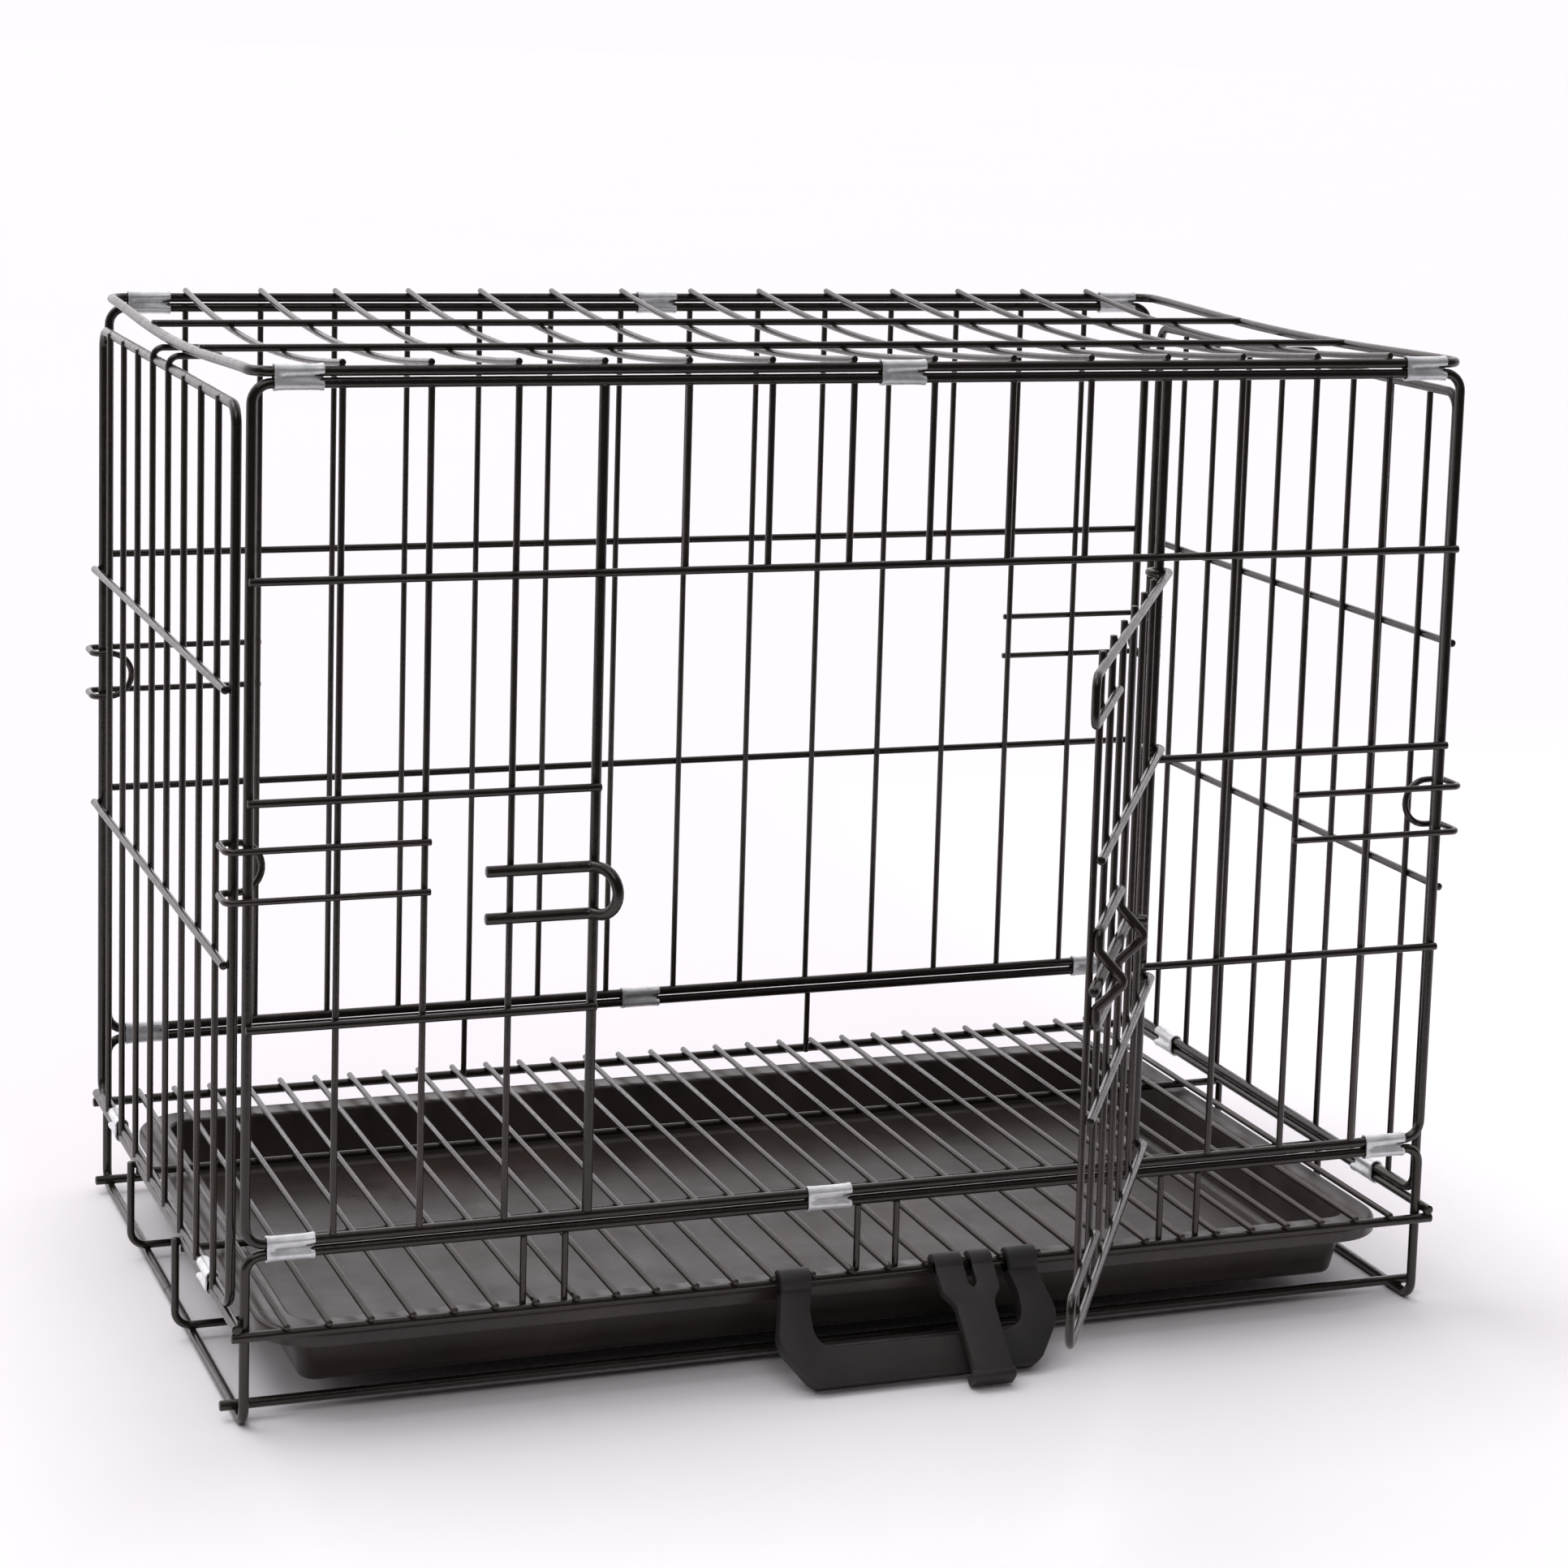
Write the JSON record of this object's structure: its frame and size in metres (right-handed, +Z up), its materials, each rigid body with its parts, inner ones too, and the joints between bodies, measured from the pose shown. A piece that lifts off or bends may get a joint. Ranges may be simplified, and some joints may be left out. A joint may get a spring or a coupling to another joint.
{
  "type": "wire dog crate",
  "caption": "Folding wire pet crate with a hinged front door and slide bolt, fold-down ends, wire floor over a slide-out tray, and a carry handle.",
  "frame": {"origin": "centre of the footprint between the corner wires, on the ground", "axes": "+Z up, +X to the right seen from the door side, -Y towards the door side"},
  "size_m": [0.6242, 0.6157, 0.4865],
  "materials": {
    "powder_coat_frame": "satin",
    "powder_coat_bar": "satin",
    "zinc_clip": "satin",
    "tray_plastic": "matte",
    "handle_plastic": "matte"
  },
  "bodies": {
    "cage": {"base_front_frame": "powder_coat_frame", "base_back_frame": "powder_coat_frame", "ground_rails": "powder_coat_frame", "runner_front": "powder_coat_frame", "runner_back": "powder_coat_frame", "side_rail_left": "powder_coat_frame", "side_rail_right": "powder_coat_frame", "floor_rails": "powder_coat_frame", "floor_bars": "powder_coat_bar", "skirt_wires": "powder_coat_bar", "front_frame": "powder_coat_frame", "front_rail_upper": "powder_coat_frame", "front_rails_left": "powder_coat_frame", "front_rails_right": "powder_coat_frame", "front_bars_left": "powder_coat_bar", "front_bars_over_door": "powder_coat_bar", "front_bars_right": "powder_coat_bar", "latch_post": "powder_coat_frame", "hinge_post": "powder_coat_frame", "bolt_keeper": "powder_coat_frame", "front_hook_left": "powder_coat_bar", "front_hook_right": "powder_coat_bar", "back_frame": "powder_coat_frame", "back_rails": "powder_coat_frame", "back_bars": "powder_coat_bar", "back_hook_left": "powder_coat_bar", "back_hook_right": "powder_coat_bar", "roof_frame": "powder_coat_frame", "roof_cross_wires": "powder_coat_bar", "roof_long_wires": "powder_coat_bar", "roof_clips_front": "zinc_clip", "roof_clips_back": "zinc_clip", "base_clips_front": "zinc_clip", "base_clips_back": "zinc_clip", "side_clips_left": "zinc_clip", "side_clips_right": "zinc_clip"},
    "end_left": {"end_left_frame": "powder_coat_frame", "end_left_rails": "powder_coat_frame", "end_left_bars": "powder_coat_bar", "end_left_hook": "powder_coat_bar"},
    "end_right": {"end_right_frame": "powder_coat_frame", "end_right_rails": "powder_coat_frame", "end_right_bars": "powder_coat_bar", "end_right_hook": "powder_coat_bar"},
    "door": {"door_rail_top": "powder_coat_frame", "door_rail_bottom": "powder_coat_frame", "door_rails_middle": "powder_coat_frame", "door_bars": "powder_coat_bar", "latch_guide": "powder_coat_bar"},
    "bolt": {"slide_bolt": "powder_coat_frame"},
    "tray": {"tray": "tray_plastic"},
    "carry_handle": {"carry_handle": "handle_plastic"},
    "fold_lock": {"fold_lock_hook": "handle_plastic"}
  },
  "joints": [
    {"name": "end_left_fold", "type": "hinge", "parent": "cage", "child": "end_left", "pos_m": [-0.3045, 0, 0.0547], "axis": [0, 1, 0], "range_deg": [0, 90]},
    {"name": "end_right_fold", "type": "hinge", "parent": "cage", "child": "end_right", "pos_m": [0.3045, 0, 0.0547], "axis": [0, -1, 0], "range_deg": [0, 85]},
    {"name": "door_swing", "type": "hinge", "parent": "cage", "child": "door", "pos_m": [0.14, -0.18, 0.24], "axis": [0, 0, 1], "range_deg": [-58.5, 106.5]},
    {"name": "bolt_slide", "type": "slide", "parent": "door", "child": "bolt", "axis": [-0.5225, -0.8526, 0], "range_m": [0, 0.024]},
    {"name": "tray_slide", "type": "slide", "parent": "cage", "child": "tray", "axis": [0, 1, 0], "range_m": [0, 0.32]},
    {"name": "handle_lift", "type": "hinge", "parent": "cage", "child": "carry_handle", "pos_m": [0.02, -0.1845, 0.045], "axis": [-1, 0, 0], "range_deg": [0, 60]},
    {"name": "fold_lock_lift", "type": "hinge", "parent": "cage", "child": "fold_lock", "pos_m": [0.047, -0.1845, 0.045], "axis": [-1, 0, 0], "range_deg": [0, 60]}
  ],
  "couplings": [
    {"joint": "fold_lock_lift", "follows": "handle_lift", "ratio": 1}
  ]
}
